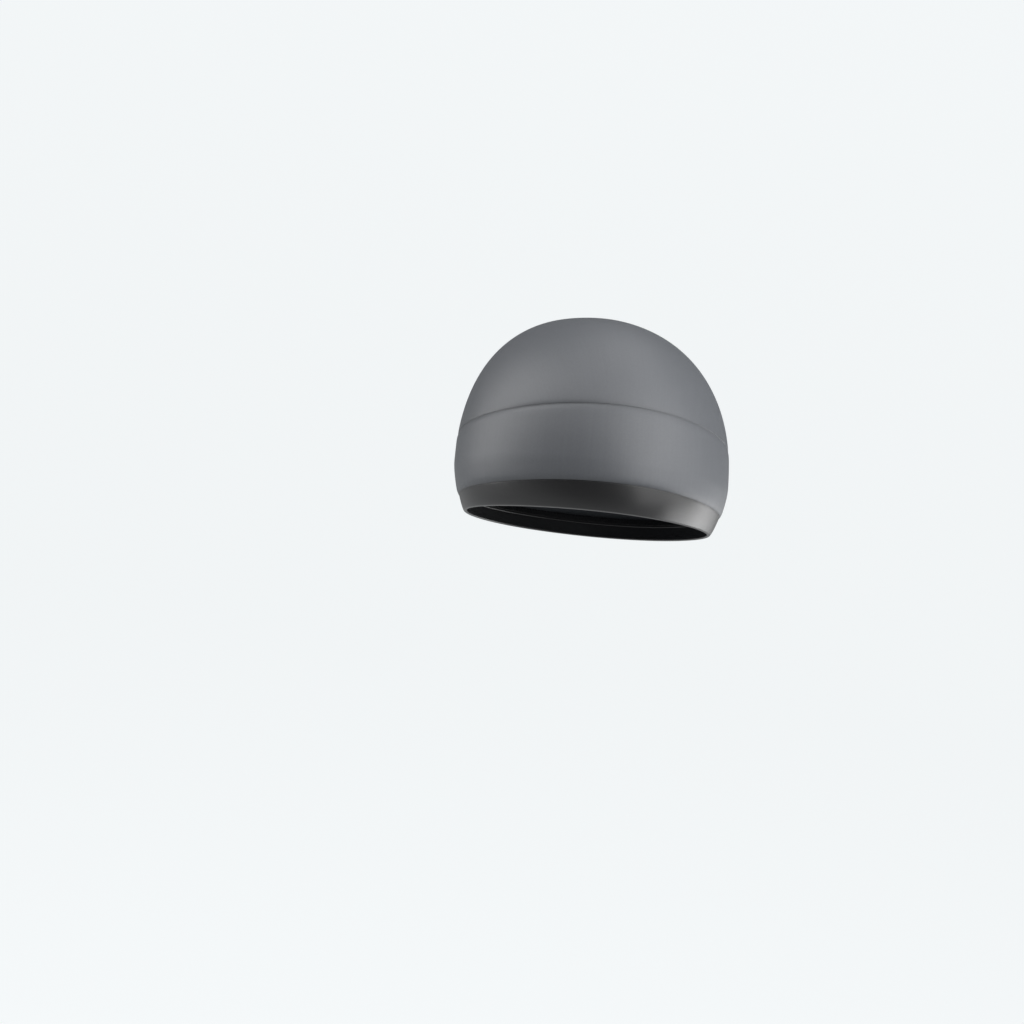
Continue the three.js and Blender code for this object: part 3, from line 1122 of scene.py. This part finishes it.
def make_stage(studio):
    """A round pale floor that bends up into a wall and a ceiling far outside, so that no horizon
    shows. Only the camera sees it; the cap is lit by the softboxes and the world."""
    low = CAD_BOX[0].z - studio.floor_drop
    turn = np.linspace(0, np.pi / 2, STAGE_BEND_STEPS + 1)[1:]
    radius = [*STAGE_INNER_RINGS, STAGE_RADIUS, *(STAGE_RADIUS + STAGE_BEND * np.sin(turn))]
    height = [0, 0, 0, 0, *(STAGE_BEND * (1 - np.cos(turn)))]
    ceiling = STAGE_HEIGHT - STAGE_BEND
    radius += [*((STAGE_RADIUS + STAGE_BEND) * np.cos(turn[:-1]))]
    height += [*(STAGE_BEND + ceiling * np.sin(turn[:-1]))]
    steps = STAGE_STEPS
    around = 2 * np.pi * np.arange(steps) / steps
    ring = np.stack([np.sin(around), -np.cos(around)], axis=-1)
    rows = [np.column_stack([r * ring, np.full(steps, low + h)]) for r, h in zip(radius, height)]
    points = np.concatenate([*rows, [[0, 0, low], [0, 0, low + STAGE_HEIGHT]]])
    quads, _ = faces_of(len(rows), steps, closed=False)
    floor_hub = len(rows) * steps
    last = floor_hub - steps
    faces = [list(quad)[::-1] for quad in quads]
    for i in range(steps):
        n = (i + 1) % steps
        faces += [(floor_hub, i, n), (floor_hub + 1, last + n, last + i)]
    mesh = bpy.data.meshes.new("stage")
    mesh.from_pydata(points.tolist(), [], faces)
    mesh.shade_smooth()
    stage = bpy.data.objects.new("stage", mesh)
    bpy.context.scene.collection.objects.link(stage)
    mesh.materials.append(stage_material(studio.stage_glow))
    stage.visible_diffuse = stage.visible_glossy = stage.visible_shadow = False


# Softboxes, in degrees as seen from the cap: around it from the front, above the level, half
# of the width and half of the height, and then brightness.
SOFTBOXES = {
    "top_softbox": (38, 90, 45, 35, 1.23),
    "back_strip": (-115.5, 18.5, 15, 30.5, 3.65),
    "front_high_softbox": (40, 42, 30, 25, 2.08),
    "front_low_softbox": (55, 20, 30, 25, 1.41),
    "side_strip": (90, 20, 12, 25, 1.10),
    "low_strip": (95, -20, 24, 12, 2.48),
    "low_back_strip": (120, -20, 16, 12, 1.00),
}


def softbox(name, studio, around, above, half_width, half_height, brightness):
    """A soft area light that faces the cap, placed and sized by angles in degrees."""
    turn, climb = math.radians(around), math.radians(above)
    back = direction(turn, climb)
    right = Vector((math.cos(turn), math.sin(turn), 0))
    data = bpy.data.lights.new(name, "AREA")
    data.shape = "RECTANGLE"
    data.size = 2 * LIGHT_DISTANCE * math.tan(math.radians(half_width))
    data.size_y = 2 * LIGHT_DISTANCE * math.tan(math.radians(half_height))
    data.energy = studio.key_light * brightness * math.pi * data.size * data.size_y
    light = bpy.data.objects.new(name, data)
    place = Matrix((right, back.cross(right), back)).transposed().to_4x4()
    place.translation = Vector(studio.aim) + back * LIGHT_DISTANCE
    light.matrix_world = place
    light.visible_camera = False
    bpy.context.scene.collection.objects.link(light)


def make_lights(studio):
    for name, values in SOFTBOXES.items():
        softbox(name, studio, *values)
    make_world(studio)
    bpy.context.scene.view_settings.view_transform = "Standard"


def make_world(studio):
    """Light from the pale floor below the level, and none from above it."""
    world = bpy.data.worlds.new("floor_bounce")
    world.use_nodes = True
    tree = world.node_tree
    toward = tree.nodes.new("ShaderNodeTexCoord").outputs["Generated"]
    height = add_node(tree, "ShaderNodeSeparateXYZ", {0: toward}).outputs["Z"]
    parts = []
    for (start, end), light in (
        (FLOOR_SPAN, studio.floor_light),
        (UNDER_SPAN, studio.under_light),
    ):
        span = {"Value": height, "From Min": start, "From Max": end, "To Max": light}
        parts.append(add_node(tree, "ShaderNodeMapRange", span).outputs["Result"])
    background = tree.nodes["Background"]
    tree.links.new(math_node(tree, "ADD", *parts), background.inputs["Strength"])
    background.inputs["Color"].default_value = FLOOR_TINT
    bpy.context.scene.world = world


def make_camera(studio):
    """The camera, rolled so that the cap leans, and shifted so that it lies off the middle."""
    back = direction(studio.camera_around, studio.camera_above)
    right = Vector((math.cos(studio.camera_around), math.sin(studio.camera_around), 0))
    up = back.cross(right)
    cos, sin = math.cos(studio.camera_roll), math.sin(studio.camera_roll)
    across, upright = right * cos + up * sin, up * cos - right * sin
    data = bpy.data.cameras.new("camera")
    data.sensor_width = SENSOR_MM
    data.lens = FOCAL_PIXELS / PICTURE_SIDE * SENSOR_MM
    data.shift_x = 0.5 - AIM_IN_PICTURE[0] / PICTURE_SIDE
    data.shift_y = AIM_IN_PICTURE[1] / PICTURE_SIDE - 0.5
    camera = bpy.data.objects.new("camera", data)
    place = Matrix((across, upright, back)).transposed().to_4x4()
    place.translation = Vector(studio.aim) + back * studio.camera_distance
    camera.matrix_world = place
    bpy.context.scene.collection.objects.link(camera)
    bpy.context.scene.camera = camera


class CAP_PT_panel(bpy.types.Panel):
    """Lists the cap's operators and sizes"""

    bl_idname = "CAP_PT_panel"
    bl_label = "Wave Cap"
    bl_space_type = "VIEW_3D"
    bl_region_type = "UI"
    bl_category = "Wave Cap"

    def draw(self, context):
        for operator in OPERATORS:
            self.layout.operator(operator.bl_idname)
        for group_name in GROUPS:
            group = getattr(context.scene, group_name)
            box = self.layout.box()
            for name in group.bl_rna.properties.keys():
                if name not in ("rna_type", "name"):
                    box.prop(group, name)


OPERATORS = (CAP_OT_studio, CAP_OT_crown, CAP_OT_side_panel, CAP_OT_rim_band, CAP_OT_seams)
GROUPS = {
    "cap_form": CapForm,
    "cap_cloth": CapCloth,
    "cap_finish": CapFinish,
    "cap_studio": CapStudio,
}


def register():
    for made in (*GROUPS.values(), *OPERATORS, CAP_PT_panel):
        bpy.utils.register_class(made)
    for name, group in GROUPS.items():
        setattr(bpy.types.Scene, name, PointerProperty(type=group))


def unregister():
    for name in GROUPS:
        delattr(bpy.types.Scene, name)
    for made in reversed((*GROUPS.values(), *OPERATORS, CAP_PT_panel)):
        bpy.utils.unregister_class(made)


def main():
    register()
    bpy.ops.cap.studio()
    bpy.ops.cap.crown()
    bpy.ops.cap.side_panel()
    bpy.ops.cap.rim_band()
    bpy.ops.cap.seams()


if __name__ == "__main__":
    main()
